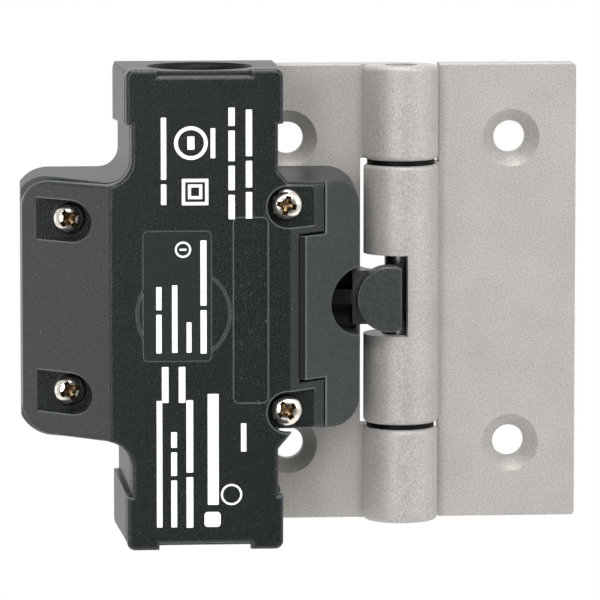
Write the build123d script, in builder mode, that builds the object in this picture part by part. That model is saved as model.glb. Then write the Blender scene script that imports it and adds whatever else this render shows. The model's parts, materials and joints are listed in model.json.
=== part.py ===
# Safety hinge switch: a cast hinge whose middle knuckle drives a sealed position switch on the frame leaf
# Frame: +X towards the door leaf, +Y into the profile behind, +Z up the hinge axis
# Origin: on the mounting plane behind the leaves, under the hinge axis, at mid height
# Depths are measured from the mounting plane towards the viewer, so a depth d lies at y = -d
import os
from math import radians, sqrt, tan

from build123d import *

os.makedirs("parts", exist_ok=True)

# Hinge
leaf_height = 92.0
leaf_reach = 35.7  # hinge axis to a leaf's outer edge
leaf_thickness = 5.5
leaf_corner = 0.8
leaf_edge = 0.3
knuckle_radius = 7.5
knuckle_gap = 0.5  # between a knuckle and the edge of the other leaf
knuckle_fillet = 0.9
middle_knuckle_length = 52.2
washer_thickness = 1.0
washer_play = 0.1
washer_radius = 6.8
pin_radius = 3.25
pin_sink = 0.9  # pin ends below the knuckle faces
pin_chamfer = 0.6
press_clearance = 0.02
running_clearance = 0.05
bush_wall = 1.0
bush_length = 12.0
bush_room = 0.5  # bore left beyond the end of a bush
bore_relief = 0.6  # bore between the bushes, round the pin
window_height = 16.3
window_edge = 0.8  # right wall of the window, from the axis

# Drilling pattern
hole_offset = 22.5
hole_pitch = 62.0
hole_radius = 3.25
countersink_radius = 5.8
countersink_play = 0.2

# Housing seen from the front
body_left = 56.6  # distances to the left of the hinge axis
body_right = 25.8
body_half_height = 46.9
waist_inset = 1.0
waist_half_height = 36.6
body_corner = 1.6
wing_left = 76.5
wing_half_height = 25.2
wing_drop = 0.6  # middle of the wing, below mid height
wing_corner = 5.6
wing_root_fillet = 5.2
flange_right = 8.7
flange_half_height = 25.6
flange_corner = 6.6
flange_taper = 3.0
base_draft = 2.3  # of the base's side walls, wider towards the leaf

# Housing in depth
housing_depth = 36.0
slope_start_left = 59.7
slope_start_right = 24.3
cover_thickness = 3.0
gasket_thickness = 0.6
gasket_inset = 0.6
gasket_width = 1.4
gasket_lip_rise = 1.0
lip_inset = 0.7
flange_gap = 1.2  # joint between the cover's right edge and the flange
root_overlap = 2.0  # how far the flange and the ears reach into the body
wall = 2.2
floor = 2.4
end_block = 11.5  # solid end of the base round the cable entry
entry_thread_radius = 9.25
entry_chamfer = 1.25
edge_fillet = 0.8
beyond = 5.0  # overshoot of cutting shapes past the faces that they cut
near = 0.01  # tolerance for choosing edges by their place

# Cover outline and face
cover_right = 22.5
lip_drop = 1.3  # middle of the cover's ends, below its corner tabs
tab_width = 6.4
tab_rise = 0.5
ear_right = 17.2
ear_top = 24.1
ear_bottom = 14.5
ear_slant = 3.4
ear_slant_shift = 0.4  # foot of the slanted edge, past the start of the slope
ear_clearance = 0.25
ear_under = 3.5  # cover left under the screw floor
panel_recess_width = 6.6
panel_recess_height = 36.4
panel_recess_x = 32.2
panel_recess_depth = 0.4
panel_recess_corner = 1.0
plate_width = 13.1
plate_height = 25.3
plate_x = 46.65
plate_z = 2.9
plate_thickness = 0.3
plate_sink = 0.2
plate_corner = 0.8
plate_play = 0.1
seam_radius = 9.0
seam_x = 45.4
seam_z = -0.6
seam_width = 0.22
seam_depth = 0.2

# Cover screws
left_screw_x = 67.3
left_screw_z = 17.1
right_screw_x = 24.9
right_screw_z = 20.3
head_radius = 3.15
head_height = 2.3
screw_radius = 1.75
screw_length = 15.0
tip_room = 0.5  # hole left beyond a screw's tip
screw_hole_clearance = 0.2
thread_engagement_clearance = 0.03
pocket_radius = 4.1
left_pocket_end = 73.8
boss_wall = 1.3
boss_floor = 2.0  # cover left under a left screw's seat
right_pocket_end = 19.2
cross_recess_width = 0.3  # shares of the head's radius
cross_recess_span = 1.25
cross_recess_draft = 12.0
head_rounding = 0.6  # shares of the head's height and the shank's radius
head_recess = 0.7
tip_chamfer = 0.25

# Fixing screws through the frame leaf
fixing_x = 19.5
fixing_z = 17.0
fixing_radius = 2.0
fixing_head_radius = 3.8
fixing_length = 14.0
fixing_recess = 1.6

# Push block and its guide
block_travel = 5.0
block_right = 0.9
block_radius = 6.6
block_centre = 2.4  # centre of the round nose, to the left of its flat
nose_fillet = 0.4
block_face_depth = 20.0
nose_depth = 4.6
body_block_half_height = 5.4
block_body_left = 10.4
block_clearance = 0.35
knuckle_clearance = 0.3
pocket_floor = 2.0  # base left behind the push block
stem_depth = 12.5  # centre of the stem, from the mounting plane
stem_width = 3.4
stem_height = 3.0
stem_socket = 3.0  # length of the stem inside the carrier
stem_clearance = 0.08
seal_thickness = 2.0
seal_radius = 3.4

# Contact block and its parts
block_frame_right = 31.0
block_frame_left = 60.0
block_frame_half_height = 22.4
block_frame_front = 21.0
block_frame_wall = 1.2
block_floor = 1.4
carrier_half_height = 3.5
carrier_front = 17.0
carrier_back = 9.9
carrier_right = 30.2
carrier_length = 16.3
carrier_nose = 5.6  # solid end round the stem
carrier_chamfer = 0.5
window_wall = 1.0  # between the two windows
bridge_play = 0.1
channel_clearance = 0.3
right_rib = 33.0  # ribs that guide the carrier
left_rib = 42.2
bridge_thickness = 0.6
bridge_half_length = 9.5
bridge_width = 3.5
bridge_corner = 1.2
rivet_z = 8.0
rivet_radius = 1.4
rivet_height = 0.2
contact_gap = 0.3
contact_spring_length = 3.2
contact_spring_radius = 1.25
contact_wire = 0.3
contact_turns = 5
return_spring_radius = 2.6
return_wire = 0.55
return_turns = 6
spring_play = 0.02
spigot_height = 1.8  # spigot inside the return spring
spigot_clearance = 0.3
strip_thickness = 0.8
strip_foot = 8.0
strip_foot_z = 13.0
strip_reach_z = 6.6
strip_depth = 17.0
strip_blade_back = 11.0
foot_shift = 2.0  # middle of a strip's foot, beside its blade
terminal_radius = 1.5
terminal_head_radius = 2.8
terminal_head_height = 1.9
terminal_length = 6.0
block_screw_x = 56.2
block_screw_z = 18.6
block_screw_radius = 1.25
block_screw_room = 0.2
block_screw_end = 0.8  # base left under the block screws
block_screw_head_radius = 2.3
block_screw_head_height = 1.6
block_column_radius = 3.1
block_column_front = 14.0

# Derived places
half_leaf = leaf_height / 2
axis_y = -knuckle_radius
hinge_axis = Axis((0, axis_y, 0), (0, 0, 1))
half_middle = middle_knuckle_length / 2
end_knuckle_start = half_middle + washer_thickness
leaf_inner = knuckle_radius + knuckle_gap
body_width = body_left - body_right
base_height = housing_depth - leaf_thickness
body_centre = -(body_left + body_right) / 2
entry_depth = (leaf_thickness + housing_depth) / 2 - 0.2
left_floor_depth = housing_depth - (left_pocket_end - slope_start_left)
right_floor_depth = housing_depth - (slope_start_right - right_pocket_end)
carrier_left = carrier_right + carrier_length


# A rectangle given by its limits to the left of the hinge axis and its limits in height
def area(left, right, low, high, mode=Mode.ADD):
    with Locations((-(left + right) / 2, (low + high) / 2)):
        Rectangle(left - right, high - low, mode=mode)


# The same extent as a solid between two depths
def slab(left, right, low, high, back, front, mode=Mode.ADD):
    with BuildSketch(Plane.XZ.offset(back)) as face:
        area(left, right, low, high)
    extrude(face.sketch, amount=front - back, mode=mode)


# A round bar or hole from one depth to another
def bar(x, z, radius, back, front, mode=Mode.ADD):
    with BuildSketch(Plane.XZ.offset(back)) as face:
        with Locations((x, z)):
            Circle(radius)
    extrude(face.sketch, amount=front - back, mode=mode)


def finish(part, name):
    part.label = name
    export_step(part, f"parts/{name}.step")


# Front profile across the housing, sunk below the outer surface by a distance square to it
def front_profile(sink):
    slope_shift = sink * (sqrt(2) - 1)
    flat = housing_depth - sink
    left_top = slope_start_left - slope_shift
    right_top = slope_start_right + slope_shift
    far_left = wing_left + beyond
    with BuildLine() as edge:
        Polyline(
            (-far_left, 0),
            (-far_left, left_top + flat - far_left),
            (-left_top, flat),
            (-right_top, flat),
            (0, flat - right_top),
            (0, 0),
            close=True,
        )
    make_face(edge.edges())


# Plate of a leaf with rounded outer corners, and its front edge rounded on the three free sides
def leaf_plate(leaf, side):
    with BuildSketch(Plane.XZ) as plate:
        with Locations((side * (leaf_inner + leaf_reach) / 2, 0)):
            Rectangle(leaf_reach - leaf_inner, leaf_height)
    extrude(plate.sketch, amount=leaf_thickness)
    fillet(leaf.edges().filter_by(Axis.Y).filter_by(lambda edge: side * edge.center().X > leaf_reach - near),
           leaf_corner)
    front = leaf.faces().sort_by(Axis.Y)[0].edges()
    fillet(front.filter_by(lambda edge: side * edge.center().X > leaf_inner + near), leaf_edge)


def knuckle(low, high, side):
    with BuildSketch(Plane.XZ.offset(knuckle_radius)) as half_section:
        with Locations((knuckle_radius / 2, (low + high) / 2)):
            Rectangle(knuckle_radius, high - low)
        fillet(half_section.vertices().group_by(Axis.X)[-1], knuckle_fillet)
    revolve(half_section.sketch, axis=hinge_axis)
    with BuildSketch(Plane.XY.offset(low)) as web:
        with Locations((side * leaf_inner / 2, -leaf_thickness / 2)):
            Rectangle(leaf_inner, leaf_thickness)
    extrude(web.sketch, amount=high - low)


def leaf_holes(side):
    with Locations(Plane.XZ.offset(leaf_thickness)):
        with Locations((side * hole_offset, hole_pitch / 2), (side * hole_offset, -hole_pitch / 2)):
            CounterSinkHole(hole_radius, countersink_radius, depth=leaf_thickness)


def vertical_bore(radius, low, high):
    with BuildSketch(Plane.XY.offset(low)) as section:
        with Locations((0, axis_y)):
            Circle(radius)
    extrude(section.sketch, amount=high - low, mode=Mode.SUBTRACT)


# Frame leaf with the upper and lower knuckle
with BuildPart() as frame_leaf:
    leaf_plate(frame_leaf, -1)
    knuckle(end_knuckle_start, half_leaf, -1)
    knuckle(-half_leaf, -end_knuckle_start, -1)
    vertical_bore(pin_radius + press_clearance, -half_leaf, half_leaf)
    leaf_holes(-1)
    with Locations(-Plane.XZ):
        with Locations((-fixing_x, fixing_z), (-fixing_x, -fixing_z)):
            CounterSinkHole(fixing_radius + screw_hole_clearance, fixing_head_radius + countersink_play,
                            depth=leaf_thickness)
finish(frame_leaf.part, "frame_leaf")

# Door leaf: plate with the middle knuckle and its window
with BuildPart() as door_leaf:
    leaf_plate(door_leaf, 1)
    knuckle(-half_middle, half_middle, 1)
    vertical_bore(pin_radius + bore_relief, -half_middle, half_middle)
    vertical_bore(pin_radius + bush_wall + press_clearance, half_middle - bush_length, half_middle)
    vertical_bore(pin_radius + bush_wall + press_clearance, -half_middle, -half_middle + bush_length)
    slab(knuckle_radius + 1, -window_edge, -window_height / 2, window_height / 2, -1, 2 * knuckle_radius + 1,
         mode=Mode.SUBTRACT)
    leaf_holes(1)
finish(door_leaf.part, "door_leaf")

# Hinge pin, chamfered at both ends
with BuildPart() as hinge_pin:
    with BuildSketch(Plane.XY.offset(-half_leaf + pin_sink)):
        with Locations((0, axis_y)):
            Circle(pin_radius)
    extrude(amount=leaf_height - 2 * pin_sink)
    chamfer(hinge_pin.edges().filter_by(GeomType.CIRCLE), pin_chamfer)
finish(hinge_pin.part, "hinge_pin")


# Flanged bearing bushes, whose flanges are the dark washers between the knuckles
def flanged_bush(name, side):
    seat = Plane.XY.offset(side * half_middle)
    with BuildPart() as bush:
        with BuildSketch(seat):
            with Locations((0, axis_y)):
                Circle(washer_radius)
        extrude(amount=side * (washer_thickness - washer_play))
        with BuildSketch(seat):
            with Locations((0, axis_y)):
                Circle(pin_radius + bush_wall)
        extrude(amount=-side * (bush_length - bush_room))
        with BuildSketch(Plane.XY):
            with Locations((0, axis_y)):
                Circle(pin_radius + running_clearance)
        extrude(amount=half_leaf, both=True, mode=Mode.SUBTRACT)
    finish(bush.part, name)


flanged_bush("upper_bush", 1)
flanged_bush("lower_bush", -1)


# Outline of the switch housing from the front, with rounded wing corners and blended wing roots
def housing_outline(plane, top=body_half_height):
    with BuildSketch(plane) as outline:
        area(body_left, body_right, waist_half_height, top)
        area(body_left, body_right, -top, -waist_half_height)
        fillet(outline.vertices().group_by(Axis.Y)[0] + outline.vertices().group_by(Axis.Y)[-1], body_corner)
        area(body_left - waist_inset, body_right + waist_inset, -top + 2, top - 2)
        area(wing_left, body_left - waist_inset - 1, -wing_drop - wing_half_height,
             -wing_drop + wing_half_height)
        fillet(outline.vertices().group_by(Axis.X)[0], wing_corner)
        roots = outline.vertices().filter_by(lambda v: abs(abs(v.Y + wing_drop) - wing_half_height) < near)
        fillet(roots.group_by(Axis.X)[-1], wing_root_fillet)
    return outline.sketch


# Prism across the housing whose front follows the outer surface at a given sink
def profile_prism(sink, right_end, mode):
    with BuildSketch(Plane.XY.offset(-body_half_height - beyond)) as section:
        front_profile(sink)
        mirror(about=Plane.XZ, mode=Mode.REPLACE)
        area(right_end, -1, -housing_depth - 1, 1, mode=Mode.SUBTRACT)
    extrude(section.sketch, amount=2 * (body_half_height + beyond), mode=mode)


# Screw pocket with one round end and one open end, grown by one amount all round
def pocket_outline(plane, x, z, open_end, grow=0.0):
    with BuildSketch(plane) as outline:
        with Locations((-x, z)):
            Circle(pocket_radius + grow)
        area(max(x, open_end + grow), min(x, open_end - grow), z - pocket_radius - grow,
             z + pocket_radius + grow)
    return outline.sketch


left_screws = [(left_screw_x, side * left_screw_z) for side in (1, -1)]
right_screws = [(right_screw_x, side * right_screw_z) for side in (1, -1)]
pocket_front = block_face_depth - nose_depth + block_clearance
pocket_left = block_body_left + block_travel + block_clearance
pocket_back = leaf_thickness + pocket_floor
flange_root = body_right + waist_inset + root_overlap
cover_root = flange_root - 0.5 * gasket_thickness
body_block_half = body_block_half_height + block_clearance
ear_floor = right_floor_depth - ear_under
cavity_half = body_half_height - end_block
cavity_floor = leaf_thickness + floor
wing_cavity_half = wing_half_height - wing_drop - wall
stem_half = stem_height / 2 + stem_clearance
left_boss_floor = left_floor_depth - boss_floor
block_screw_tip = leaf_thickness + block_screw_end
gasket_lip_half = ear_bottom - lip_inset
lip_right = cover_right - flange_gap + press_clearance

# Sloped flange of the base beside the knuckle
with BuildPart() as flange:
    with BuildSketch(Plane.XZ.offset(leaf_thickness)) as flange_face:
        area(flange_root + 4, flange_right, -flange_half_height, flange_half_height)
        fillet(flange_face.vertices().group_by(Axis.X)[-1], flange_corner)
    extrude(amount=base_height, taper=flange_taper)
    profile_prism(0, flange_right, Mode.INTERSECT)
    rim = flange.faces().filter_by(lambda face: face.normal_at().Y < -0.5 and face.normal_at().X > 0.5)
    fillet(rim.edges().filter_by(lambda edge: edge.center().X > -slope_start_right + 1), edge_fillet)
    slab(flange_root + beyond, cover_right - flange_gap, -flange_half_height - 1, flange_half_height + 1,
         housing_depth - cover_thickness - gasket_thickness, housing_depth + 1, mode=Mode.SUBTRACT)
    bar(-flange_right, 0, block_radius + block_clearance, pocket_back, housing_depth, mode=Mode.SUBTRACT)
    slab(pocket_left, flange_right - 1, -body_block_half, body_block_half, pocket_back, pocket_front,
         mode=Mode.SUBTRACT)

# Base of the switch housing
with BuildPart() as base:
    with BuildSketch(Plane.XZ.offset(leaf_thickness)) as rear_outline:
        add(housing_outline(Plane.XY))
        offset(amount=base_height * tan(radians(base_draft)), kind=Kind.INTERSECTION, mode=Mode.REPLACE)
    extrude(rear_outline.sketch, amount=base_height, taper=base_draft)
    slab(wing_left, body_right, -body_half_height, body_half_height, 0, housing_depth, mode=Mode.INTERSECT)
    profile_prism(cover_thickness + gasket_thickness, body_right - 1, Mode.INTERSECT)
    add(flange.part)
    slab(cover_root, ear_right - ear_clearance, ear_bottom - ear_clearance, body_half_height,
         ear_floor - ear_clearance, housing_depth + 1, mode=Mode.SUBTRACT)
    slab(cover_root, ear_right - ear_clearance, -body_half_height, -ear_bottom + ear_clearance,
         ear_floor - ear_clearance, housing_depth + 1, mode=Mode.SUBTRACT)
    # Cavity for the contact block and the wires
    slab(body_left - waist_inset - wall, body_right + waist_inset + wall, -cavity_half, cavity_half,
         cavity_floor, housing_depth, mode=Mode.SUBTRACT)
    slab(block_frame_left + 1, body_left - waist_inset - wall - 1, -wing_cavity_half, wing_cavity_half,
         cavity_floor, housing_depth, mode=Mode.SUBTRACT)
    # Guide and seal seat of the push block's stem
    slab(pocket_left - 1, body_right + waist_inset + wall + 1, -stem_half, stem_half,
         stem_depth - stem_width / 2 - stem_clearance, stem_depth + stem_width / 2 + stem_clearance,
         mode=Mode.SUBTRACT)
    with BuildSketch(Plane.YZ.offset(-pocket_left)):
        with Locations((-stem_depth, 0)):
            Circle(seal_radius)
    extrude(amount=-seal_thickness, mode=Mode.SUBTRACT)
    # Threaded cable entry
    with Locations(Plane.XY.offset(body_half_height)):
        with Locations((body_centre, -entry_depth)):
            Hole(entry_thread_radius, depth=end_block + 1)
    rim = base.edges().filter_by(GeomType.CIRCLE)
    rim = rim.filter_by(lambda edge: abs(edge.radius - entry_thread_radius) < near)
    chamfer(rim.sort_by(Axis.Z)[-1], entry_chamfer)
    # Screw holes and the seats of the cover's screw bosses
    for x, z in left_screws:
        extrude(pocket_outline(Plane.XZ.offset(left_boss_floor - ear_clearance), x, z, left_pocket_end,
                               boss_wall + ear_clearance), amount=housing_depth, mode=Mode.SUBTRACT)
        bar(-x, z, screw_radius + thread_engagement_clearance, left_floor_depth - screw_length - tip_room,
            housing_depth, mode=Mode.SUBTRACT)
    for x, z in right_screws:
        bar(-x, z, screw_radius + thread_engagement_clearance, right_floor_depth - screw_length - tip_room,
            housing_depth, mode=Mode.SUBTRACT)
    for side in (1, -1):
        bar(-fixing_x, side * fixing_z, fixing_radius + thread_engagement_clearance, 0,
            fixing_length + tip_room, mode=Mode.SUBTRACT)
        bar(-block_screw_x, side * block_screw_z, block_screw_radius + thread_engagement_clearance,
            block_screw_tip - block_screw_room, housing_depth, mode=Mode.SUBTRACT)
finish(base.part, "base")

# Cover with its ramps, corner tabs, ears, pockets and shallow recesses
with BuildPart() as cover:
    extrude(housing_outline(Plane.XZ, body_half_height + tab_rise), amount=housing_depth)
    with BuildSketch(Plane.XZ) as right_edge:
        with BuildLine():
            Polyline(
                (-flange_root, ear_top + ear_slant),
                (-body_right - waist_inset, ear_top + ear_slant),
                (-slope_start_right + ear_slant_shift, ear_top),
                (-ear_right, ear_top),
                (-ear_right, ear_bottom),
                (-cover_right, ear_bottom),
                (-cover_right, 0),
                (-flange_root, 0),
                close=True,
            )
        make_face()
        mirror(about=Plane.XZ)
    extrude(amount=housing_depth)
    profile_prism(0, flange_right, Mode.INTERSECT)
    # Middle of both ends drops below the corner tabs
    for side in (1, -1):
        with BuildSketch(Plane.XZ):
            with Locations((body_centre, side * (body_half_height + tab_rise - lip_drop / 2))):
                Rectangle(body_width - 2 * tab_width, lip_drop)
        extrude(amount=housing_depth + 1, mode=Mode.SUBTRACT)
    skin = cover.faces().filter_by(lambda face: face.normal_at().Y < -0.5)
    fillet(ShapeList(set(skin.edges())), edge_fillet)
    profile_prism(cover_thickness, cover_root, Mode.SUBTRACT)
    slab(cover_root, ear_right - 1, ear_top, body_half_height + beyond, -1, housing_depth - cover_thickness,
         mode=Mode.SUBTRACT)
    slab(cover_root, ear_right - 1, -body_half_height - beyond, -ear_top, -1, housing_depth - cover_thickness,
         mode=Mode.SUBTRACT)
    slab(cover_root, ear_right - 1, -ear_bottom, ear_bottom, -1, housing_depth - cover_thickness,
         mode=Mode.SUBTRACT)
    slab(cover_root, ear_right - 1, ear_bottom, ear_top, -1, ear_floor, mode=Mode.SUBTRACT)
    slab(cover_root, ear_right - 1, -ear_top, -ear_bottom, -1, ear_floor, mode=Mode.SUBTRACT)
    # Bosses under the left screws, then all four pockets and screw holes
    for x, z in left_screws:
        extrude(pocket_outline(Plane.XZ.offset(left_boss_floor), x, z, left_pocket_end, boss_wall),
                amount=left_floor_depth - left_boss_floor)
    for x, z in left_screws:
        extrude(pocket_outline(Plane.XZ.offset(left_floor_depth), x, z, left_pocket_end),
                amount=housing_depth, mode=Mode.SUBTRACT)
        bar(-x, z, screw_radius + screw_hole_clearance, 0, housing_depth, mode=Mode.SUBTRACT)
    for x, z in right_screws:
        extrude(pocket_outline(Plane.XZ.offset(right_floor_depth), x, z, right_pocket_end),
                amount=housing_depth, mode=Mode.SUBTRACT)
        bar(-x, z, screw_radius + screw_hole_clearance, 0, housing_depth, mode=Mode.SUBTRACT)
    # Face details
    with BuildSketch(Plane.XZ.offset(housing_depth)):
        with Locations((-panel_recess_x, 0)):
            RectangleRounded(panel_recess_width, panel_recess_height, panel_recess_corner)
    extrude(amount=-panel_recess_depth, mode=Mode.SUBTRACT)
    with BuildSketch(Plane.XZ.offset(housing_depth)):
        with Locations((-seam_x, seam_z)):
            Circle(seam_radius + seam_width)
            Circle(seam_radius, mode=Mode.SUBTRACT)
    extrude(amount=-seam_depth, mode=Mode.SUBTRACT)
    with BuildSketch(Plane.XZ.offset(housing_depth)):
        with Locations((-plate_x, plate_z)):
            RectangleRounded(plate_width + plate_play, plate_height + plate_play, plate_corner)
    extrude(amount=-plate_sink, mode=Mode.SUBTRACT)
finish(cover.part, "cover")

# Blank rating plate in its shallow recess
with BuildPart() as rating_plate:
    with BuildSketch(Plane.XZ.offset(housing_depth - plate_sink)):
        with Locations((-plate_x, plate_z)):
            RectangleRounded(plate_width, plate_height, plate_corner)
    extrude(amount=plate_thickness)
finish(rating_plate.part, "rating_plate")

# Cover gasket, a flat ring that follows the ramps, with a lip in the joint beside the flange
with BuildSketch(Plane.XZ) as gasket_outside:
    add(housing_outline(Plane.XY))
    offset(amount=-gasket_inset, kind=Kind.INTERSECTION, mode=Mode.REPLACE)
    area(cover_root, 0, -body_half_height - beyond, body_half_height + beyond, mode=Mode.SUBTRACT)
with BuildSketch(Plane.XZ) as gasket_inside:
    add(gasket_outside.sketch_local)
    offset(amount=-gasket_width, kind=Kind.INTERSECTION, mode=Mode.REPLACE)
gasket_front = housing_depth - cover_thickness
with BuildPart() as cover_gasket:
    extrude(gasket_outside.sketch, amount=housing_depth)
    extrude(gasket_inside.sketch, amount=housing_depth, mode=Mode.SUBTRACT)
    profile_prism(cover_thickness, 0, Mode.INTERSECT)
    profile_prism(cover_thickness + gasket_thickness, 0, Mode.SUBTRACT)
    slab(cover_root, lip_right, -gasket_lip_half, gasket_lip_half, gasket_front - gasket_thickness,
         gasket_front)
    slab(cover_right - 0.05, lip_right, -gasket_lip_half, gasket_lip_half, gasket_front - gasket_thickness,
         gasket_front + gasket_lip_rise)
finish(cover_gasket.part, "cover_gasket")


# Cross recess cut into a screw head from its top
def cross_recess(plane, head, depth):
    span = head * cross_recess_span
    width = head * cross_recess_width
    with BuildSketch(plane) as cross:
        Rectangle(span, width)
        Rectangle(width, span)
    extrude(cross.sketch, amount=-depth, taper=cross_recess_draft, mode=Mode.SUBTRACT)


# Pan head screw, from its head seat, facing the viewer
def pan_screw(name, x, z, seat, shank, head, rise, length):
    with BuildPart() as screw:
        with BuildSketch(Plane.XZ.offset(seat)) as seat_circle:
            with Locations((x, z)):
                Circle(head)
        extrude(seat_circle.sketch, amount=rise)
        fillet(screw.edges().sort_by(Axis.Y)[0], rise * head_rounding)
        bar(x, z, shank, seat - length, seat)
        chamfer(screw.edges().sort_by(Axis.Y)[-1], shank * tip_chamfer)
        top = Plane(origin=(x, -seat - rise, z), x_dir=(1, 0, 0), z_dir=(0, -1, 0))
        cross_recess(top, head, rise * head_recess)
    finish(screw.part, name)


for side, level in ((1, "upper"), (-1, "lower")):
    pan_screw(f"{level}_left_cover_screw", -left_screw_x, side * left_screw_z, left_floor_depth, screw_radius,
              head_radius, head_height, screw_length)
    pan_screw(f"{level}_right_cover_screw", -right_screw_x, side * right_screw_z, right_floor_depth,
              screw_radius, head_radius, head_height, screw_length)


# Countersunk screw from behind the frame leaf into the base
def fixing_screw(name, z):
    with BuildPart() as screw:
        with BuildSketch(Plane.YZ) as section:
            with BuildLine():
                Polyline(
                    (0, 0),
                    (0, fixing_head_radius),
                    (-fixing_head_radius + fixing_radius, fixing_radius),
                    (-fixing_length, fixing_radius),
                    (-fixing_length, 0),
                    close=True,
                )
            make_face()
        revolve(axis=Axis.Y)
        cross_recess(-Plane.XZ, fixing_head_radius, fixing_recess)
    screw.part.position = (-fixing_x, 0, z)
    finish(screw.part, name)


fixing_screw("upper_fixing_screw", fixing_z)
fixing_screw("lower_fixing_screw", -fixing_z)

# Push block: D-shaped nose, hollowed round the knuckle, with a square stem into the housing
with BuildPart() as push_block:
    with BuildSketch(Plane.XZ.offset(block_face_depth - nose_depth)):
        with Locations((-block_right - block_centre, 0)):
            Circle(block_radius)
        area(block_right, -block_radius * 2, -block_radius, block_radius, mode=Mode.SUBTRACT)
    extrude(amount=nose_depth)
    fillet(push_block.faces().sort_by(Axis.Y)[0].edges(), nose_fillet)
    slab(block_body_left, block_right, -body_block_half_height, body_block_half_height,
         pocket_back + block_clearance, block_face_depth - nose_depth)
    with BuildSketch(Plane.XY.offset(-half_leaf)):
        with Locations((0, axis_y)):
            Circle(knuckle_radius + knuckle_clearance)
    extrude(amount=leaf_height, mode=Mode.SUBTRACT)
    slab(carrier_right + stem_socket, block_body_left - 1, -stem_height / 2, stem_height / 2,
         stem_depth - stem_width / 2, stem_depth + stem_width / 2)
finish(push_block.part, "push_block")

# Rubber seal round the stem
with BuildPart() as stem_seal:
    with BuildSketch(Plane.YZ.offset(-pocket_left)):
        with Locations((-stem_depth, 0)):
            Circle(seal_radius - press_clearance)
            Rectangle(stem_width + 2 * running_clearance, stem_height + 2 * running_clearance,
                      mode=Mode.SUBTRACT)
    extrude(amount=-seal_thickness)
finish(stem_seal.part, "stem_seal")

# Contact carrier: the bar that the stem pushes, with one window for each contact bridge
window_length = bridge_thickness + contact_spring_length + 2 * bridge_play
nc_window_right = carrier_right + carrier_nose
nc_window_left = nc_window_right + window_length
no_window_right = nc_window_left + window_wall
no_window_left = no_window_right + window_length
carrier_centre = (carrier_front + carrier_back) / 2
window_back = carrier_centre - bridge_width / 2 - bridge_play
window_front = carrier_centre + bridge_width / 2 + bridge_play

with BuildPart() as contact_carrier:
    slab(carrier_left, carrier_right, -carrier_half_height, carrier_half_height, carrier_back, carrier_front)
    chamfer(contact_carrier.edges().filter_by(Axis.Y), carrier_chamfer)
    slab(nc_window_left, nc_window_right, -5, 5, window_back, window_front, mode=Mode.SUBTRACT)
    slab(no_window_left, no_window_right, -5, 5, window_back, window_front, mode=Mode.SUBTRACT)
    slab(carrier_right + stem_socket + press_clearance, carrier_right - 1, -stem_height / 2 - press_clearance,
         stem_height / 2 + press_clearance, stem_depth - stem_width / 2 - press_clearance,
         stem_depth + stem_width / 2 + press_clearance, mode=Mode.SUBTRACT)
finish(contact_carrier.part, "contact_carrier")


# Contact bridge with a rivet at each end, which faces one way along X
def contact_bridge(name, face_x, facing):
    with BuildPart() as bridge:
        with BuildSketch(Plane.YZ.offset(face_x)):
            with Locations((-carrier_centre, 0)):
                RectangleRounded(bridge_width, 2 * bridge_half_length, bridge_corner)
        extrude(amount=-facing * bridge_thickness)
        with BuildSketch(Plane.YZ.offset(face_x)):
            with Locations((-carrier_centre, rivet_z), (-carrier_centre, -rivet_z)):
                Circle(rivet_radius)
        extrude(amount=facing * rivet_height)
    finish(bridge.part, name)


nc_face = -nc_window_right - bridge_play
no_face = -no_window_left + bridge_play
contact_bridge("break_bridge", nc_face, 1)
contact_bridge("make_bridge", no_face, -1)


# Coil spring along X between two places
def coil_spring(name, right, left, radius, wire, turns):
    length = right - left - wire
    with BuildPart() as spring:
        with BuildLine() as coil:
            Helix(length / turns, length, radius - wire / 2, center=(left + wire / 2, -carrier_centre, 0),
                  direction=(1, 0, 0))
        with BuildSketch(Plane(coil.line @ 0, z_dir=coil.line % 0)):
            RegularPolygon(wire / 2, 6)
        sweep(is_frenet=True)
    finish(spring.part, name)


coil_spring("break_contact_spring", nc_face - bridge_thickness - spring_play, -nc_window_left + spring_play,
            contact_spring_radius, contact_wire, contact_turns)
coil_spring("make_contact_spring", -no_window_right - spring_play, no_face + bridge_thickness + spring_play,
            contact_spring_radius, contact_wire, contact_turns)
coil_spring("return_spring", -carrier_left - spring_play, -block_frame_left + block_frame_wall + spring_play,
            return_spring_radius, return_wire, return_turns)

# Contact block: open tray with carrier guides, terminal seats and screw columns
blade_break = -nc_face - rivet_height - contact_gap - strip_thickness
blade_make = -no_face + block_travel + rivet_height + contact_gap
break_foot = blade_break + foot_shift
make_foot = blade_make - foot_shift
frame_floor = cavity_floor + block_floor
tray_half = block_frame_half_height - block_frame_wall

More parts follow.
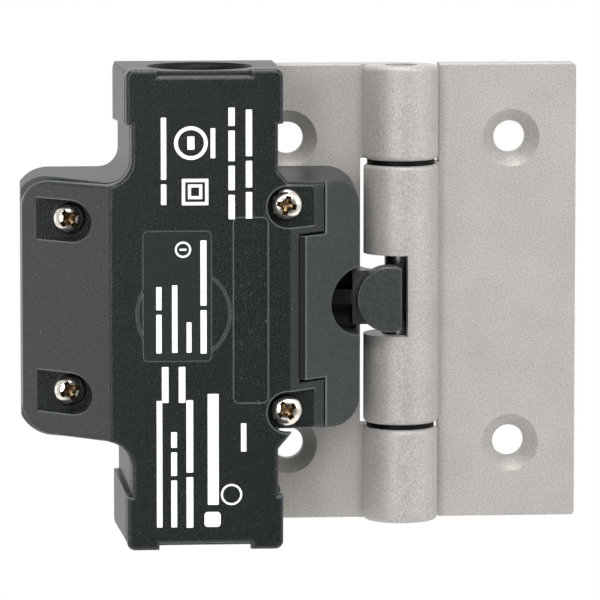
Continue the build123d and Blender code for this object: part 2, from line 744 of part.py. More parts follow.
with BuildPart() as contact_block:
    slab(block_frame_left, block_frame_right, -block_frame_half_height, block_frame_half_height, cavity_floor,
         block_frame_front)
    slab(block_frame_left - block_frame_wall, block_frame_right + block_frame_wall, -tray_half, tray_half,
         frame_floor, block_frame_front, mode=Mode.SUBTRACT)
    slab(block_frame_right + beyond, block_frame_right - 1, -carrier_half_height - channel_clearance,
         carrier_half_height + channel_clearance, frame_floor, block_frame_front, mode=Mode.SUBTRACT)
    for side in (1, -1):
        inner = side * (carrier_half_height + channel_clearance)
        outer = inner + side * block_frame_wall
        for rib in (right_rib, left_rib):
            slab(rib + block_frame_wall, rib, min(inner, outer), max(inner, outer), frame_floor,
                 block_frame_front)
        near = side * strip_foot_z
        far = side * tray_half
        for foot in (break_foot, make_foot):
            slab(foot + strip_foot / 2, foot - strip_foot / 2, min(near, far), max(near, far), frame_floor,
                 strip_depth - strip_thickness)
            bar(-foot, side * (strip_foot_z + strip_foot / 2), terminal_radius + thread_engagement_clearance,
                strip_depth - terminal_length - tip_room, block_frame_front, mode=Mode.SUBTRACT)
        bar(-block_screw_x, side * block_screw_z, block_column_radius, frame_floor, block_column_front)
    slab(block_frame_left + 2, block_frame_left, -tray_half - 2, tray_half + 2, 0, block_frame_front,
         mode=Mode.SUBTRACT)
    for side in (1, -1):
        bar(-block_screw_x, side * block_screw_z, block_screw_radius + screw_hole_clearance, 0,
            block_frame_front, mode=Mode.SUBTRACT)
    with BuildSketch(Plane.YZ.offset(-block_frame_left + block_frame_wall)):
        with Locations((-carrier_centre, 0)):
            Circle(return_spring_radius - return_wire - spigot_clearance)
    extrude(amount=spigot_height)
finish(contact_block.part, "contact_block")


# Fixed contact strip: a blade for the bridge to meet and a foot under its terminal screw
def contact_strip(name, blade, foot, side):
    low, high = sorted((side * strip_reach_z, side * strip_foot_z))
    foot_low, foot_high = sorted((side * strip_foot_z, side * (strip_foot_z + strip_foot)))
    with BuildPart() as strip:
        slab(blade + strip_thickness, blade, low, high, strip_blade_back, strip_depth)
        slab(foot + strip_foot / 2, foot - strip_foot / 2, foot_low, foot_high, strip_depth - strip_thickness,
             strip_depth)
        bar(-foot, side * (strip_foot_z + strip_foot / 2), terminal_radius + screw_hole_clearance, 0,
            strip_depth + 1, mode=Mode.SUBTRACT)
    finish(strip.part, name)


for side, level in ((1, "upper"), (-1, "lower")):
    for kind, blade, foot in (("break", blade_break, break_foot), ("make", blade_make, make_foot)):
        contact_strip(f"{level}_{kind}_contact", blade, foot, side)
        pan_screw(f"{level}_{kind}_terminal_screw", -foot, side * (strip_foot_z + strip_foot / 2),
                  strip_depth, terminal_radius, terminal_head_radius, terminal_head_height, terminal_length)
    pan_screw(f"{level}_block_screw", -block_screw_x, side * block_screw_z, block_column_front,
              block_screw_radius, block_screw_head_radius, block_screw_head_height,
              block_column_front - block_screw_tip)
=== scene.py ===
import json
import math

import bmesh
import bpy
from mathutils import Matrix, Vector


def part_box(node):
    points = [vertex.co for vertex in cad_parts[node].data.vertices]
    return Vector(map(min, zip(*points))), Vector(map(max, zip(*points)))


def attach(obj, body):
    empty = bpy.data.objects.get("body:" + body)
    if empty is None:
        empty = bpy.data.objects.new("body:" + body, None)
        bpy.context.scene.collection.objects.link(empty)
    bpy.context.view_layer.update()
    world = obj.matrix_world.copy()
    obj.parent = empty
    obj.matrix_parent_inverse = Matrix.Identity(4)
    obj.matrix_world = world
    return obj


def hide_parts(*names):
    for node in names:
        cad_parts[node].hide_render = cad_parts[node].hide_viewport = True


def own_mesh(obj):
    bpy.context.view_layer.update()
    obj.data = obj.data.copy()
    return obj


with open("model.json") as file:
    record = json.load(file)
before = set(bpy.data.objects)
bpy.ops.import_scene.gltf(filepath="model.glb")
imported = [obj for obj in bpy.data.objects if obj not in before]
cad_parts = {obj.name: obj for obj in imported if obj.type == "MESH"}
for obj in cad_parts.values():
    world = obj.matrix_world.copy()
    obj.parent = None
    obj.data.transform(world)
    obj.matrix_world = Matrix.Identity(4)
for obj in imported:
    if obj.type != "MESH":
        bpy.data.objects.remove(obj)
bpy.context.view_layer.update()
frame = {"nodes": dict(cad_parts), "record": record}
nodes = frame["nodes"]
scene = bpy.context.scene
mm = 0.001
print("frame loaded:", len(nodes), "nodes")

# small helpers


def linear(hexColour):
    # one hex colour in sRGB to the linear values that the shader wants
    parts = [int(hexColour[i:i + 2], 16) / 255 for i in (1, 3, 5)]
    return tuple(p / 12.92 if p <= 0.04045 else ((p + 0.055) / 1.055) ** 2.4 for p in parts) + (1.0,)


def perMm(size):
    # texture scale for a feature of that size in millimetres
    return 1.0 / (size * mm)


def addNode(tree, kind, settings=None, **inputs):
    # settings are the node's own properties, inputs are values or sockets to link, by name or as i0, i1, i2
    node = tree.nodes.new(kind)
    for name, value in (settings or {}).items():
        setattr(node, name, value)
    for name, value in inputs.items():
        key = int(name[1:]) if name[0] == "i" and name[1:].isdigit() else name.replace("_", " ")
        socket = node.inputs[key]
        if isinstance(value, bpy.types.NodeSocket):
            tree.links.new(value, socket)
        else:
            socket.default_value = value
    return node


def newMaterial(name):
    material = bpy.data.materials.new(name)
    material.use_nodes = True
    tree = material.node_tree
    tree.nodes.clear()
    output = tree.nodes.new("ShaderNodeOutputMaterial")
    shader = tree.nodes.new("ShaderNodeBsdfPrincipled")
    tree.links.new(shader.outputs["BSDF"], output.inputs["Surface"])
    return material, tree, shader


def ramp(tree, fac, stops):
    # stops are (place, linear colour)
    node = addNode(tree, "ShaderNodeValToRGB", None, Fac=fac)
    elements = node.color_ramp.elements
    while len(elements) < len(stops):
        elements.new(0.5)
    for element, (place, colour) in zip(elements, stops):
        element.position = place
        element.color = colour
    return node.outputs["Color"]


def level(tree, fac, low, high):
    # a factor mapped from 0..1 to low..high
    return addNode(tree, "ShaderNodeMapRange", None, Value=fac, To_Min=low, To_Max=high).outputs["Result"]


def mixColour(tree, fac, first, second):
    return addNode(tree, "ShaderNodeMix", {"data_type": "RGBA"}, i0=fac, i6=first, i7=second).outputs[2]


def objectPlace(tree):
    return addNode(tree, "ShaderNodeTexCoord").outputs["Object"]


def noise(tree, place, size, detail=2.0, rough=0.5):
    return addNode(tree, "ShaderNodeTexNoise", None, Vector=place, Scale=perMm(size), Detail=detail,
                   Roughness=rough).outputs["Fac"]


# materials


def beadBlastedAnodisedAluminium():
    # blasting gives a matt, even grain of dark and light specks, drawn coarser than real so that they show,
    # and anodising gives a warm silver tone
    look = {"dark": "#928E8B", "mid": "#A6A29E", "light": "#BAB6B2", "grain": 0.29, "cloud": 9.0,
            "cloudShare": 0.12, "stops": (0.34, 0.5, 0.66), "rough": (0.48, 0.6), "metallic": 0.4,
            "bump": 0.15, "bumpHeight": 0.05}
    material, tree, shader = newMaterial("beadBlastedAnodisedAluminium")
    place = objectPlace(tree)
    grain = noise(tree, place, look["grain"], 3, 0.6)
    cloud = noise(tree, place, look["cloud"], 2)
    both = addNode(tree, "ShaderNodeMix", {"data_type": "FLOAT"}, i0=look["cloudShare"], i2=grain,
                   i3=cloud).outputs[0]
    tones = [linear(look[tone]) for tone in ("dark", "mid", "light")]
    colour = ramp(tree, both, list(zip(look["stops"], tones)))
    tree.links.new(colour, shader.inputs["Base Color"])
    tree.links.new(level(tree, grain, *look["rough"]), shader.inputs["Roughness"])
    shader.inputs["Metallic"].default_value = look["metallic"]
    shader.inputs["Diffuse Roughness"].default_value = 1.0
    bump = addNode(tree, "ShaderNodeBump", None, Height=grain, Strength=look["bump"],
                   Distance=look["bumpHeight"] * mm)
    tree.links.new(bump.outputs["Normal"], shader.inputs["Normal"])
    return material


# sizes in millimetres, with grain and flecks drawn coarser than real ones so that they show in a view
plasticLook = {
    "stops": (0.4, 0.6), "fleck": 0.3, "fleckStops": (0.7, 0.78), "fleckColour": "#7E8587",
    "edgeReach": 0.45, "edgeFrom": 0.95, "edgeTo": 0.5, "edgeHighlightColour": "#7A8183", "bumpHeight": 0.08,
}


def mouldedPlastic(name, dark, light, grain=0.36, rough=(0.26, 0.4), specks=0.0, specular=0.5, bumpShare=0.3,
                   edges=0.0):
    # moulded against a fine spark-eroded tool: matt, with a fine grain and, where filled, pale flecks
    look = plasticLook
    material, tree, shader = newMaterial(name)
    place = objectPlace(tree)
    fine = noise(tree, place, grain, 3, 0.6)
    colour = ramp(tree, fine, list(zip(look["stops"], (linear(dark), linear(light)))))
    if specks:
        fleck = noise(tree, place, look["fleck"], 1, 0.4)
        mask = ramp(tree, fleck, list(zip(look["fleckStops"], ((0, 0, 0, 1), (specks, specks, specks, 1)))))
        colour = mixColour(tree, mask, colour, linear(look["fleckColour"]))
    if edges:  # painted highlight: outer convex edges are coloured paler, where light catches them
        thin = addNode(tree, "ShaderNodeAmbientOcclusion", {"inside": True, "only_local": True, "samples": 8},
                       Distance=look["edgeReach"] * mm).outputs["AO"]
        paintedEdgeLight = addNode(tree, "ShaderNodeMapRange", None, Value=thin, From_Min=look["edgeFrom"],
                       From_Max=look["edgeTo"], To_Min=0.0, To_Max=edges).outputs["Result"]
        colour = mixColour(tree, paintedEdgeLight, colour, linear(look["edgeHighlightColour"]))
    tree.links.new(colour, shader.inputs["Base Color"])
    tree.links.new(level(tree, fine, *rough), shader.inputs["Roughness"])
    shader.inputs["IOR"].default_value = 1.5
    shader.inputs["Specular IOR Level"].default_value = specular
    bump = addNode(tree, "ShaderNodeBump", None, Height=fine, Strength=bumpShare,
                   Distance=look["bumpHeight"] * mm)
    tree.links.new(bump.outputs["Normal"], shader.inputs["Normal"])
    return material


def paintStemShade(material, edge):
    # painted shade: the push block is coloured black behind that place across, over its stem, for the shade
    # in the notch
    tree = material.node_tree
    shader = tree.nodes["Principled BSDF"]
    colour = shader.inputs["Base Color"].links[0].from_socket
    across = addNode(tree, "ShaderNodeSeparateXYZ", None, Vector=objectPlace(tree)).outputs["X"]
    behind = addNode(tree, "ShaderNodeMath", {"operation": "LESS_THAN"}, i0=across, i1=edge * mm).outputs[0]
    tree.links.new(mixColour(tree, behind, colour, linear("#020202")), shader.inputs["Base Color"])


def turnedMetal(name, dark, light, rough=(0.2, 0.34), stretch=(1, 1, 1), size=0.4):
    # plated or ground metal: bright, with faint streaks left by the tool
    material, tree, shader = newMaterial(name)
    place = addNode(tree, "ShaderNodeMapping", None, Vector=objectPlace(tree),
                    Scale=stretch).outputs["Vector"]
    streak = noise(tree, place, size, 3, 0.55)
    colour = ramp(tree, streak, [(0.3, linear(dark)), (0.7, linear(light))])
    tree.links.new(colour, shader.inputs["Base Color"])
    tree.links.new(level(tree, streak, *rough), shader.inputs["Roughness"])
    shader.inputs["Metallic"].default_value = 1.0
    return material


aluminium = beadBlastedAnodisedAluminium()
# edges= lays a painted highlight, a paler colour, along the outer edges of cover and base
coverNylon = mouldedPlastic("glassFilledNylonCoverMoulded", "#030607", "#11191B", rough=(0.22, 0.34),
                            specks=0.5, specular=0.38, bumpShare=0.9, edges=0.5)
baseNylon = mouldedPlastic("glassFilledNylonBaseMoulded", "#0A0F10", "#1F2829", rough=(0.32, 0.46),
                           specks=0.2, specular=0.5, bumpShare=0.7, edges=0.4)
plateFilm = mouldedPlastic("polyesterLabelFilmMatt", "#131A1B", "#1A2122", grain=0.5, rough=(0.3, 0.38),
                           specular=0.36, bumpShare=0.1)
blockAcetal = mouldedPlastic("acetalPushBlockMoulded", "#272C28", "#303531", grain=0.6, rough=(0.28, 0.36),
                             bumpShare=0.1)
# painted shade: the push block is black behind this place, where its stem lies in the notch
stemStart = -10.6
paintStemShade(blockAcetal, stemStart)
washerNylon = mouldedPlastic("nylonBushMoulded", "#040404", "#070707", grain=0.5, rough=(0.4, 0.5),
                             specular=0.1)
sealRubber = mouldedPlastic("nitrileRubberMoulded", "#060707", "#0D0E0E", grain=0.3, rough=(0.6, 0.8),
                            specular=0.25)
framePolyester = mouldedPlastic("polyesterContactBlockMoulded", "#7C7263", "#8F8574", grain=0.4, specular=0.4)
printInk = mouldedPlastic("screenInkPrintedWhite", "#E2E4E3", "#EDEEED", grain=0.2, rough=(0.5, 0.6),
                          bumpShare=0.1)
nickel = turnedMetal("nickelPlatedSteelPressed", "#C2BBB0", "#E9E4DB", rough=(0.16, 0.26))
# painted shade: the cross recess of each screw is coloured dark brown, for the shade inside it
recessShadeMetal = turnedMetal("nickelPlatedRecessPaintedShade", "#54422B", "#927C5E", rough=(0.26, 0.4))
pinSteel = turnedMetal("stainlessPinGround", "#444341", "#6E6D6A", stretch=(1, 1, 12))
springSteel = turnedMetal("springWireDrawn", "#77777A", "#A8A8AA")
brass = turnedMetal("brassStripRolled", "#A88B4A", "#D6BB78", rough=(0.28, 0.42))
print("materials ready")

slotMaterials = {
    "hinge_aluminium": aluminium, "pin_steel": pinSteel, "bearing_plastic": washerNylon,
    "base_plastic": baseNylon, "cover_plastic": coverNylon, "plate_plastic": plateFilm,
    "gasket_rubber": sealRubber, "screw_steel": nickel, "block_plastic": blockAcetal,
    "spring_steel": springSteel, "contact_brass": brass, "frame_plastic": framePolyester,
}
for part in frame["record"]["subparts"]:
    cadObject = nodes[part["node"]]
    cadObject.data.materials.clear()
    cadObject.data.materials.append(slotMaterials[part["material_slot"]])
print("nodes dressed")

# mesh building


def turnedRings(rings, segments):
    # a closed surface from rings (height, one radius or a list of radii), a radius of 0 closes an end
    shape = bmesh.new()
    built = []
    for height, radii in rings:
        if radii == 0:
            built.append([shape.verts.new((0, 0, height))])
            continue
        if not isinstance(radii, list):
            radii = [radii] * segments
        turns = [2 * math.pi * i / segments for i in range(segments)]
        built.append([shape.verts.new((r * math.cos(a), r * math.sin(a), height))
                      for r, a in zip(radii, turns)])
    for lower, upper in zip(built, built[1:]):
        for i in range(segments):
            j = (i + 1) % segments
            corners = [lower[i % len(lower)], lower[j % len(lower)],
                       upper[j % len(upper)], upper[i % len(upper)]]
            shape.faces.new(list(dict.fromkeys(corners)))
    bmesh.ops.recalc_face_normals(shape, faces=shape.faces)
    return shape


def threadRings(major, depth, pitch, low, high, segments, fade):
    # rings of a helical V thread between two heights, fading in and out over a length
    ringsPerTurn = 8
    steps = max(2, round((high - low) / pitch * ringsPerTurn))
    rings = []
    for k in range(steps + 1):
        height = low + (high - low) * k / steps
        share = min(1.0, (height - low) / fade, (high - height) / fade)
        radii = []
        for i in range(segments):
            phase = (height / pitch - i / segments) % 1.0
            radii.append(major - depth * (1 - share * (1 - abs(2 * phase - 1))))
        rings.append((height, radii))
    return rings


def flatShape(outlines, back, front):
    # thin plates between two values of y, in millimetres: an outline is a list of x, z, or for a ring a pair
    # of such lists, outer and inner, with as many points each
    shape = bmesh.new()
    for outline in outlines:
        outer, inner = outline if isinstance(outline, tuple) else (outline, None)
        loops = [[shape.verts.new((x, y, z)) for x, z in outer] for y in (back, front)]
        if inner:
            loops += [[shape.verts.new((x, y, z)) for x, z in inner] for y in (front, back)]
            loops.append(loops[0])
        else:
            shape.faces.new(loops[0])
            shape.faces.new(loops[1])
        for lower, upper in zip(loops, loops[1:]):
            for i in range(len(outer)):
                j = (i + 1) % len(outer)
                shape.faces.new((lower[i], lower[j], upper[j], upper[i]))
    bmesh.ops.recalc_face_normals(shape, faces=shape.faces)
    return shape


def shadeSmooth(mesh, angle=32):
    # smooth, apart from edges that turn by more than an angle in degrees
    for face in mesh.polygons:
        face.use_smooth = True
    mesh.set_sharp_from_angle(angle=math.radians(angle))


def asObject(name, shape, materials, place=Matrix.Identity(4)):
    # scaled from millimetres and turned to its place in its mesh
    mesh = bpy.data.meshes.new(name)
    shape.to_mesh(mesh)
    shape.free()
    mesh.transform(place @ Matrix.Scale(mm, 4))
    for material in materials:
        mesh.materials.append(material)
    shadeSmooth(mesh)
    piece = bpy.data.objects.new(name, mesh)
    scene.collection.objects.link(piece)
    return piece


def cadCopy(node, name):
    # a piece with the mesh of a CAD node, to be cut or moved, as the node itself stays as it is
    piece = nodes[node].copy()
    piece.data = nodes[node].data.copy()
    piece.name = name
    scene.collection.objects.link(piece)
    return piece


def cutAway(piece, cutter, angle=32):
    # exact difference, with the cutter's material index kept on the new faces, and the cutter removed
    cut = piece.modifiers.new("cut", "BOOLEAN")
    cut.object = cutter
    cut.operation = "DIFFERENCE"
    cut.solver = "EXACT"
    bpy.context.view_layer.update()
    result = bpy.data.meshes.new_from_object(piece.evaluated_get(bpy.context.evaluated_depsgraph_get()))
    piece.modifiers.clear()
    piece.data = result
    shadeSmooth(result, angle)
    bpy.data.objects.remove(cutter)


def keepNormals(piece, node):
    # corners that a cut left in place keep the normal of the true surface, and new ones on flat walls
    # stay flat: a corner is known by its place to a micrometre and by the way that its face looks
    before, after = nodes[node].data, piece.data
    known = {}

    def cornerKey(mesh, corner, face):
        place = mesh.vertices[mesh.loops[corner].vertex_index].co
        return tuple(round(v, 6) for v in place), tuple(round(v, 2) + 0.0 for v in face.normal)

    for face in before.polygons:
        for corner in face.loop_indices:
            known[cornerKey(before, corner, face)] = before.corner_normals[corner].vector.copy()
    normals = [corner.vector.copy() for corner in after.corner_normals]
    for face in after.polygons:
        for corner in face.loop_indices:
            if face.material_index == 0:
                normals[corner] = known.get(cornerKey(after, corner, face), face.normal.copy())
    after.normals_split_custom_set(normals)


# screws
panScrew = {
    "headRadius": 3.15, "headHeight": 2.3, "skirt": 0.5, "shoulder": 2.7, "shank": 1.75, "length": 15.0,
    "pitch": 0.7, "threadDepth": 0.38, "tipShare": 0.7, "tipLength": 0.4, "neck": 1.0, "fade": 0.8,
    "underHead": 0.02, "edgeRound": 0.12, "segments": 72, "domeSteps": 14,
}
sunkScrew = {
    "headRadius": 3.8, "shank": 2.0, "length": 14.0, "pitch": 0.7, "threadDepth": 0.4, "tipShare": 0.7,
    "tipLength": 0.4, "neck": 0.6, "fade": 0.8, "segments": 72,
    "rim": ((-0.15, 0.15), (-0.05, 0.02), (0.0, 0.12)),  # height, and how far inside the head's radius
}
starRecess = {
    "wingReach": 1.95, "wingHalf": 0.5, "rootHalf": 0.62, "rootReach": 1.0, "pointReach": 0.9,
    "above": 0.5, "wall": 0.3, "depth": 1.5, "floorShare": 0.62, "tip": 0.35, "edgeRound": 0.07,
}


def recessCutter(top, turn):
    # a cross with a small point between its wings, narrower towards its floor
    size = starRecess
    quarter = [
        (size["wingReach"], -size["wingHalf"]), (size["wingReach"], size["wingHalf"]),
        (size["rootReach"], size["rootHalf"]), (size["pointReach"], size["pointReach"]),
        (size["rootHalf"], size["rootReach"]),
    ]
    shape = bmesh.new()
    rows = []
    for height, share in ((top + size["above"], 1.0), (top - size["wall"], 1.0),
                          (top - size["depth"], size["floorShare"])):
        row = []
        for k in range(4):
            a = math.radians(90 * k + turn)
            for x, y in quarter:
                row.append(shape.verts.new((share * (x * math.cos(a) - y * math.sin(a)),
                                            share * (x * math.sin(a) + y * math.cos(a)), height)))
        rows.append(row)
    count = len(rows[0])
    for upper, lower in zip(rows, rows[1:]):
        for i in range(count):
            j = (i + 1) % count
            shape.faces.new((upper[i], upper[j], lower[j], lower[i]))
    shape.faces.new(rows[0])
    tip = shape.verts.new((0, 0, top - size["depth"] - size["tip"]))
    for i in range(count):
        shape.faces.new((rows[-1][i], rows[-1][(i + 1) % count], tip))
    bmesh.ops.recalc_face_normals(shape, faces=shape.faces)
    # the recess faces take the second material, the painted shade
    for face in shape.faces:
        face.material_index = 1
    return shape


def roundRecessEdge(piece):
    # the pressed edge of the recess, softly rounded, which catches the light
    shape = bmesh.new()
    shape.from_mesh(piece.data)
    edges = [e for e in shape.edges
             if len(e.link_faces) == 2 and e.link_faces[0].material_index != e.link_faces[1].material_index]
    bmesh.ops.bevel(shape, geom=edges, offset=starRecess["edgeRound"] * mm, segments=2, affect="EDGES",
                    clamp_overlap=True, material=0)
    shape.to_mesh(piece.data)
    shape.free()
    shadeSmooth(piece.data)


def shankRings(size, top):
    # a blunt tip, and a thread up to a height under the head
    rings = [(-size["length"], 0), (-size["length"], size["shank"] * size["tipShare"])]
    return rings + threadRings(size["shank"], size["threadDepth"], size["pitch"],
                               -size["length"] + size["tipLength"], top, size["segments"], size["fade"])


def recessedScrew(name, rings, segments, top, turn, place):
    piece = asObject(name, turnedRings(rings, segments), [nickel, recessShadeMetal], place)
    cutAway(piece, asObject("recessCutter", recessCutter(top, turn), [nickel, recessShadeMetal], place))
    roundRecessEdge(piece)
    return piece


def coverScrew(node, turn):
    size = panScrew
    low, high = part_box(node)
    place = Matrix.Translation(((low[0] + high[0]) / 2, low[1] + size["headHeight"] * mm,
                                (low[2] + high[2]) / 2))
    place = place @ Matrix.Rotation(math.pi / 2, 4, "X")
    rings = shankRings(size, -size["neck"])
    rings += [(-size["underHead"], size["shank"]), (0.0, size["headRadius"] - size["edgeRound"]),
              (size["edgeRound"], size["headRadius"]), (size["skirt"], size["headRadius"])]
    for k in range(1, size["domeSteps"] + 1):
        a = math.pi / 2 * k / size["domeSteps"]
        radius = size["headRadius"] * max(0.0, math.cos(a)) ** (2 / size["shoulder"])
        height = size["skirt"] + (size["headHeight"] - size["skirt"]) * math.sin(a) ** (2 / size["shoulder"])
        rings.append((height, radius if k < size["domeSteps"] else 0))
    piece = recessedScrew(node.replace("_screw", "_pan_screw"), rings, size["segments"], size["headHeight"],
                          turn, place)
    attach(piece, "frame")
    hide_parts(node)


def fixingScrew(node, turn):
    size = sunkScrew
    low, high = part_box(node)
    place = Matrix.Translation(((low[0] + high[0]) / 2, high[1], (low[2] + high[2]) / 2))
    place = place @ Matrix.Rotation(-math.pi / 2, 4, "X")
    cone = size["headRadius"] - size["shank"]
    rings = shankRings(size, -cone - size["neck"]) + [(-cone, size["shank"])]
    rings += [(height, size["headRadius"] - inset) for height, inset in size["rim"]] + [(0.0, 0)]
    piece = recessedScrew(node.replace("_screw", "_sunk_screw"), rings, size["segments"], 0.0, turn, place)
    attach(piece, "frame")
    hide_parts(node)


for node, turn in (("upper_left_cover_screw", 40), ("lower_left_cover_screw", 25),
                   ("upper_right_cover_screw", -12), ("lower_right_cover_screw", 33)):
    coverScrew(node, turn)
for node, turn in (("upper_fixing_screw", 20), ("lower_fixing_screw", 65)):
    fixingScrew(node, turn)
print("screws turned")

# cut copies of CAD nodes keep edges sharp that turn by more degrees than this
cadAngle = 30

# base with the thread of its cable entry: its lead-in is what lies within rim of the axis and isn't level;
# thread and lead-in are coloured black as painted shade and painted dark reflection in the bore
entryThread = {
    "major": 9.95, "depth": 0.8, "pitch": 1.5, "top": 45.9, "bottom": 36.2, "segments": 96, "fade": 0.7,
    "rim": 10.7, "flatShare": 0.95,
}


def threadedBase():
    size = entryThread
    entry = next(mount for mount in frame["record"]["mounts"] if mount["name"] == "cable_entry")
    piece = cadCopy("base", "base_with_entry_thread")
    rings = [(size["bottom"], 0), (size["bottom"], size["major"] - size["depth"])]
    rings += threadRings(size["major"], size["depth"], size["pitch"], size["bottom"], size["top"],
                         size["segments"], size["fade"])
    rings += [(size["top"], 0)]
    place = Matrix.Translation((entry["pos_m"][0], entry["pos_m"][1], 0))
    shape = turnedRings(rings, size["segments"])
    # painted shade: the thread's faces take the black bush nylon, for the shade inside the bore
    for face in shape.faces:
        face.material_index = 1
    # the second slot holds the painted shade of the thread and its lead-in
    piece.data.materials.append(washerNylon)
    cutAway(piece, asObject("threadCutter", shape, [baseNylon, washerNylon], place), cadAngle)
    axis = Vector(entry["pos_m"])
    for face in piece.data.polygons:  # painted dark reflection: the lead-in is coloured as black as the thread
        inRim = (face.center - axis).xy.length < size["rim"] * mm and face.center.z > size["bottom"] * mm
        if inRim and abs(face.normal.z) < size["flatShare"]:
            face.material_index = 1
    keepNormals(piece, "base")
    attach(piece, "frame")
    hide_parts("base")


threadedBase()
print("entry threaded")

# cover, with the outside of its left screw bosses trimmed flush with the sloped wing
bossTrim = {
    "slopeTop": 95.7, "from": 73.0, "to": 75.6, "out": 26.0, "proud": 0.01, "screwHeight": 17.1, "half": 5.7,
}


def trimmedCover():
    size = bossTrim
    piece = cadCopy("cover", "cover_trimmed")
    for side in (1, -1):
        ends = (side * size["screwHeight"] - size["half"], side * size["screwHeight"] + size["half"])
        outline = [(-size["to"], -size["out"]), (-size["from"], -size["out"]),
                   (-size["from"], size["from"] - size["slopeTop"] - size["proud"]),
                   (-size["to"], size["to"] - size["slopeTop"] - size["proud"])]
        shape = bmesh.new()
        rows = [[shape.verts.new((x, y, z)) for x, y in outline] for z in ends]
        shape.faces.new(rows[0])
        shape.faces.new(rows[1])
        for i in range(len(outline)):
            j = (i + 1) % len(outline)
            shape.faces.new((rows[0][i], rows[0][j], rows[1][j], rows[1][i]))
        bmesh.ops.recalc_face_normals(shape, faces=shape.faces)
        cutAway(piece, asObject("bossCutter", shape, [coverNylon]), cadAngle)
    keepNormals(piece, "cover")
    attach(piece, "frame")
    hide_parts("cover")


trimmedCover()
print("cover trimmed")

# return spring: a copy of its CAD node, fixed to the frame


def woundSpring():
    piece = cadCopy("return_spring", "return_spring_wound")
    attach(piece, "frame")
    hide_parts("return_spring")
    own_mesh(piece)


woundSpring()
print("spring wound")

# label film and print
labelFilm = {"width": 13.1, "height": 25.3, "corner": 0.8, "back": -35.8, "front": -36.07, "edge": 0.05}
ink = {"lift": 0.025, "sink": 0.01, "corner": 0.12, "cornerSteps": 2, "wordGap": 0.9}
nearby = 0.001  # how close to the film's front a point counts as on it


def roundedOutline(x, z, width, height, corner, steps=6):
    points = []
    for k, (sx, sz) in enumerate(((1, 1), (-1, 1), (-1, -1), (1, -1))):
        for i in range(steps + 1):
            a = math.radians(90 * (k + i / steps))
            points.append((x + sx * (width / 2 - corner) + corner * math.cos(a),
                           z + sz * (height / 2 - corner) + corner * math.sin(a)))
    return points


def boxOutline(x0, x1, z0, z1):
    return roundedOutline((x0 + x1) / 2, (z0 + z1) / 2, x1 - x0, z1 - z0, ink["corner"], ink["cornerSteps"])


def ringOutline(x, z, outer, width, steps=64):
    turns = [2 * math.pi * i / steps for i in range(steps)]
    return tuple([(x + r * math.cos(a), z + r * math.sin(a)) for a in turns] for r in (outer, outer - width))


def wordRow(x0, x1, z0, z1, words, thickness=0.46):
    # a line of print as plain dashes, one for each word length given as a share of the line
    gap = ink["wordGap"]
    middle, half = (x0 + x1) / 2, (x1 - x0) * thickness / 2
    room = (z1 - z0) - gap * (len(words) - 1)
    rows, z = [], z0
    for share in words:
        length = room * share / sum(words)
        rows.append(boxOutline(middle - half, middle + half, z, z + length))
        z += length + gap
    return rows


def frameOutline(x0, x1, z0, z1, width):
    return boxOutline(x0, x1, z0, z1), boxOutline(x0 + width, x1 - width, z0 + width, z1 - width)


coverPrint = (
    wordRow(-50.4, -48.1, 20.9, 38.0, (3, 9))
    + [ringOutline(-43.9, 33.0, 3.3, 0.75), boxOutline(-44.6, -43.2, 31.7, 34.3)]
    + wordRow(-40.6, -38.6, 30.0, 35.9, (1,))
    + [frameOutline(-45.7, -40.5, 20.8, 26.0, 0.65), frameOutline(-44.5, -41.7, 22.0, 24.9, 0.6)]
    + wordRow(-37.3, -34.6, 18.0, 39.9, (4, 4, 5, 3))
    + wordRow(-33.9, -31.2, 18.1, 39.5, (4, 4, 7))
    + [boxOutline(-49.7, -48.4, -18.1, -11.0), boxOutline(-46.4, -45.1, -18.1, -11.0)]
    + wordRow(-51.4, -49.0, -42.8, -17.7, (17,))
    + wordRow(-48.6, -46.1, -42.8, -23.9, (6, 3, 2))
    + wordRow(-45.7, -42.8, -42.9, -17.6, (7, 10))
    + wordRow(-41.0, -38.3, -38.4, -16.4, (1,), 0.8)
    + [roundedOutline(-39.8, -41.3, 3.2, 3.0, 0.7), ringOutline(-36.05, -36.4, 2.1, 0.4)]
    + wordRow(-34.8, -32.5, -27.9, -22.3, (1,))
)
labelPrint = (
    [ringOutline(-45.5, 12.1, 1.6, 0.4), boxOutline(-46.2, -44.8, 11.9, 12.3)]
    + wordRow(-51.4, -49.1, -8.3, 4.8, (5, 3))
    + wordRow(-48.3, -46.0, -8.2, 5.1, (8,))
    + wordRow(-45.4, -43.3, -8.2, -2.2, (4,))
    + wordRow(-42.8, -40.2, -8.4, 13.9, (6, 9))
)


def addLabel():
    low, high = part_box("rating_plate")
    x, z = (low[0] + high[0]) / 2 / mm, (low[2] + high[2]) / 2 / mm
    outline = roundedOutline(x, z, labelFilm["width"], labelFilm["height"], labelFilm["corner"])
    shape = flatShape([outline], labelFilm["back"], labelFilm["front"])
    rim = [e for e in shape.edges if all(v.co.y < labelFilm["front"] + nearby for v in e.verts)]
    bmesh.ops.bevel(shape, geom=rim, offset=labelFilm["edge"], segments=2, affect="EDGES")
    film = asObject("label_film", shape, [plateFilm])
    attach(film, "frame")
    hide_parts("rating_plate")
    words = flatShape(labelPrint, labelFilm["front"] + ink["sink"], labelFilm["front"] - ink["lift"])
    marks = asObject("label_print", words, [printInk])
    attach(marks, "frame")


def addCoverPrint():
    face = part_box("cover")[0][1] / mm
    words = flatShape(coverPrint, face + ink["sink"], face - ink["lift"])
    marks = asObject("cover_print", words, [printInk])
    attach(marks, "frame")


addLabel()
addCoverPrint()
print("print laid on")

# studio
studio = {
    "floorHeight": -0.26, "floorRadius": 0.8, "floorBack": 0.35, "floorGlow": 0.66,
    "cameraDistance": 1.10, "cameraLeft": 4.5, "cameraUp": 6.65,
    "lens": 330.2, "target": (-20.9 * mm, -15.0 * mm, -0.47 * mm),
    "ambient": 0.55, "darkSide": 0.13, "darkFrom": -0.95, "brightFrom": -0.55,
}
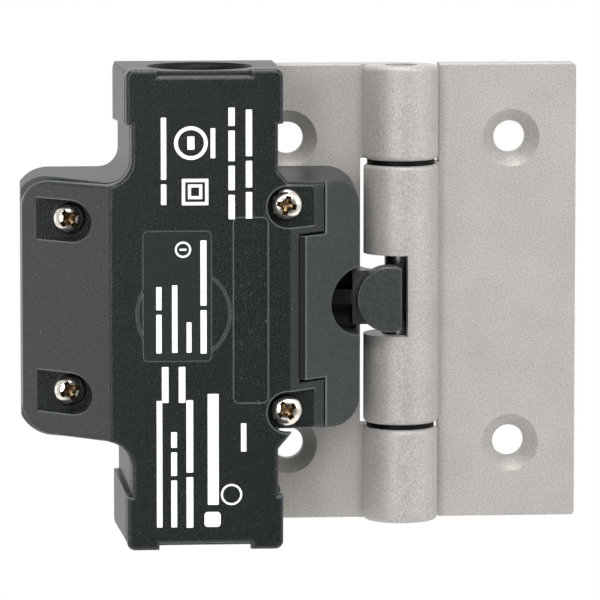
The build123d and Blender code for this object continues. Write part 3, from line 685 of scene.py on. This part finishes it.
# name, place, aim, size in metres, power in watts
lamps = (
    ("softboxAbove", (-0.05, -0.2, 1.0), (-0.02, 0, 0), (0.6, 0.5), 8.5),
    ("softboxFront", (0.15, -1.15, 0.64), (-0.02, 0, 0), (0.7, 0.35), 7.2),
    ("softboxLeft", (-0.45, -1.1, 0.1), (0, 0, 0), (0.25, 0.6), 4.6),
    ("softboxSide", (-1.1, 0.05, -0.05), (0, 0, 0), (0.6, 0.6), 1.5),
    ("softboxRight", (0.85, -0.7, 0.35), (0, 0, 0), (0.5, 0.6), 4.2),
)


def addArea(name, place, aim, size, power):
    light = bpy.data.lights.new(name, "AREA")
    light.shape = "RECTANGLE"
    light.size, light.size_y = size
    light.energy = power
    lamp = bpy.data.objects.new(name, light)
    scene.collection.objects.link(lamp)
    lamp.location = place
    lamp.rotation_euler = (Vector(aim) - Vector(place)).to_track_quat("-Z", "Y").to_euler()


def buildFloor():
    bpy.ops.mesh.primitive_circle_add(vertices=96, radius=studio["floorRadius"], fill_type="NGON",
                                      location=(0, studio["floorBack"], studio["floorHeight"]))
    floor = bpy.context.object
    floor.name = "studioFloor"
    material, tree, shader = newMaterial("studioFloorPaper")
    shader.inputs["Base Color"].default_value = linear("#F4F4F3")
    shader.inputs["Roughness"].default_value = 0.9
    path = addNode(tree, "ShaderNodeLightPath")
    glow = addNode(tree, "ShaderNodeMath", {"operation": "MULTIPLY"}, i0=path.outputs["Is Camera Ray"],
                   i1=studio["floorGlow"]).outputs[0]
    emission = addNode(tree, "ShaderNodeEmission", None, Color=(1, 1, 1, 1), Strength=glow)
    total = addNode(tree, "ShaderNodeAddShader", None, i0=shader.outputs["BSDF"],
                    i1=emission.outputs["Emission"])
    tree.links.new(total.outputs["Shader"], tree.nodes["Material Output"].inputs["Surface"])
    floor.data.materials.append(material)


def buildWorld():
    # white where the camera looks, and in reflections too, apart from the dim end of the room in front
    world = bpy.data.worlds.new("paleStudio")
    world.cycles.sampling_method = "NONE"  # each kind of ray then finds its own strength below
    scene.world = world
    world.use_nodes = True
    tree = world.node_tree
    tree.nodes.clear()
    output = tree.nodes.new("ShaderNodeOutputWorld")
    path = addNode(tree, "ShaderNodeLightPath")
    direction = addNode(tree, "ShaderNodeSeparateXYZ", None,
                        Vector=addNode(tree, "ShaderNodeTexCoord").outputs["Generated"])
    room = addNode(tree, "ShaderNodeMapRange", {"interpolation_type": "SMOOTHSTEP"},
                   Value=direction.outputs["Y"], From_Min=studio["darkFrom"], From_Max=studio["brightFrom"],
                   To_Min=studio["darkSide"], To_Max=1.0).outputs["Result"]
    mirrored = addNode(tree, "ShaderNodeMix", {"data_type": "FLOAT"}, i0=path.outputs["Is Glossy Ray"],
                       i2=studio["ambient"], i3=room).outputs[0]
    seen = addNode(tree, "ShaderNodeMath", {"operation": "MAXIMUM"}, i0=path.outputs["Is Camera Ray"],
                   i1=path.outputs["Is Transmission Ray"]).outputs[0]
    strength = addNode(tree, "ShaderNodeMix", {"data_type": "FLOAT"}, i0=seen, i2=mirrored, i3=1.0).outputs[0]
    background = addNode(tree, "ShaderNodeBackground", None, Color=(1, 1, 1, 1), Strength=strength)
    tree.links.new(background.outputs["Background"], output.inputs["Surface"])


def buildCamera():
    camera = bpy.data.cameras.new("productCamera")
    camera.lens = studio["lens"]
    camera.sensor_width = 36
    camera.clip_end = 20
    eye = bpy.data.objects.new("productCamera", camera)
    scene.collection.objects.link(eye)
    left, up = math.radians(studio["cameraLeft"]), math.radians(studio["cameraUp"])
    back = Vector((-math.sin(left) * math.cos(up), -math.cos(left) * math.cos(up), math.sin(up)))
    eye.location = Vector(studio["target"]) + back * studio["cameraDistance"]
    eye.rotation_euler = (-back).to_track_quat("-Z", "Y").to_euler()
    scene.camera = eye
    scene.view_settings.view_transform = "Standard"


buildFloor()
buildWorld()
for lamp in lamps:
    addArea(*lamp)
buildCamera()
print("studio ready")

bpy.context.view_layer.update()
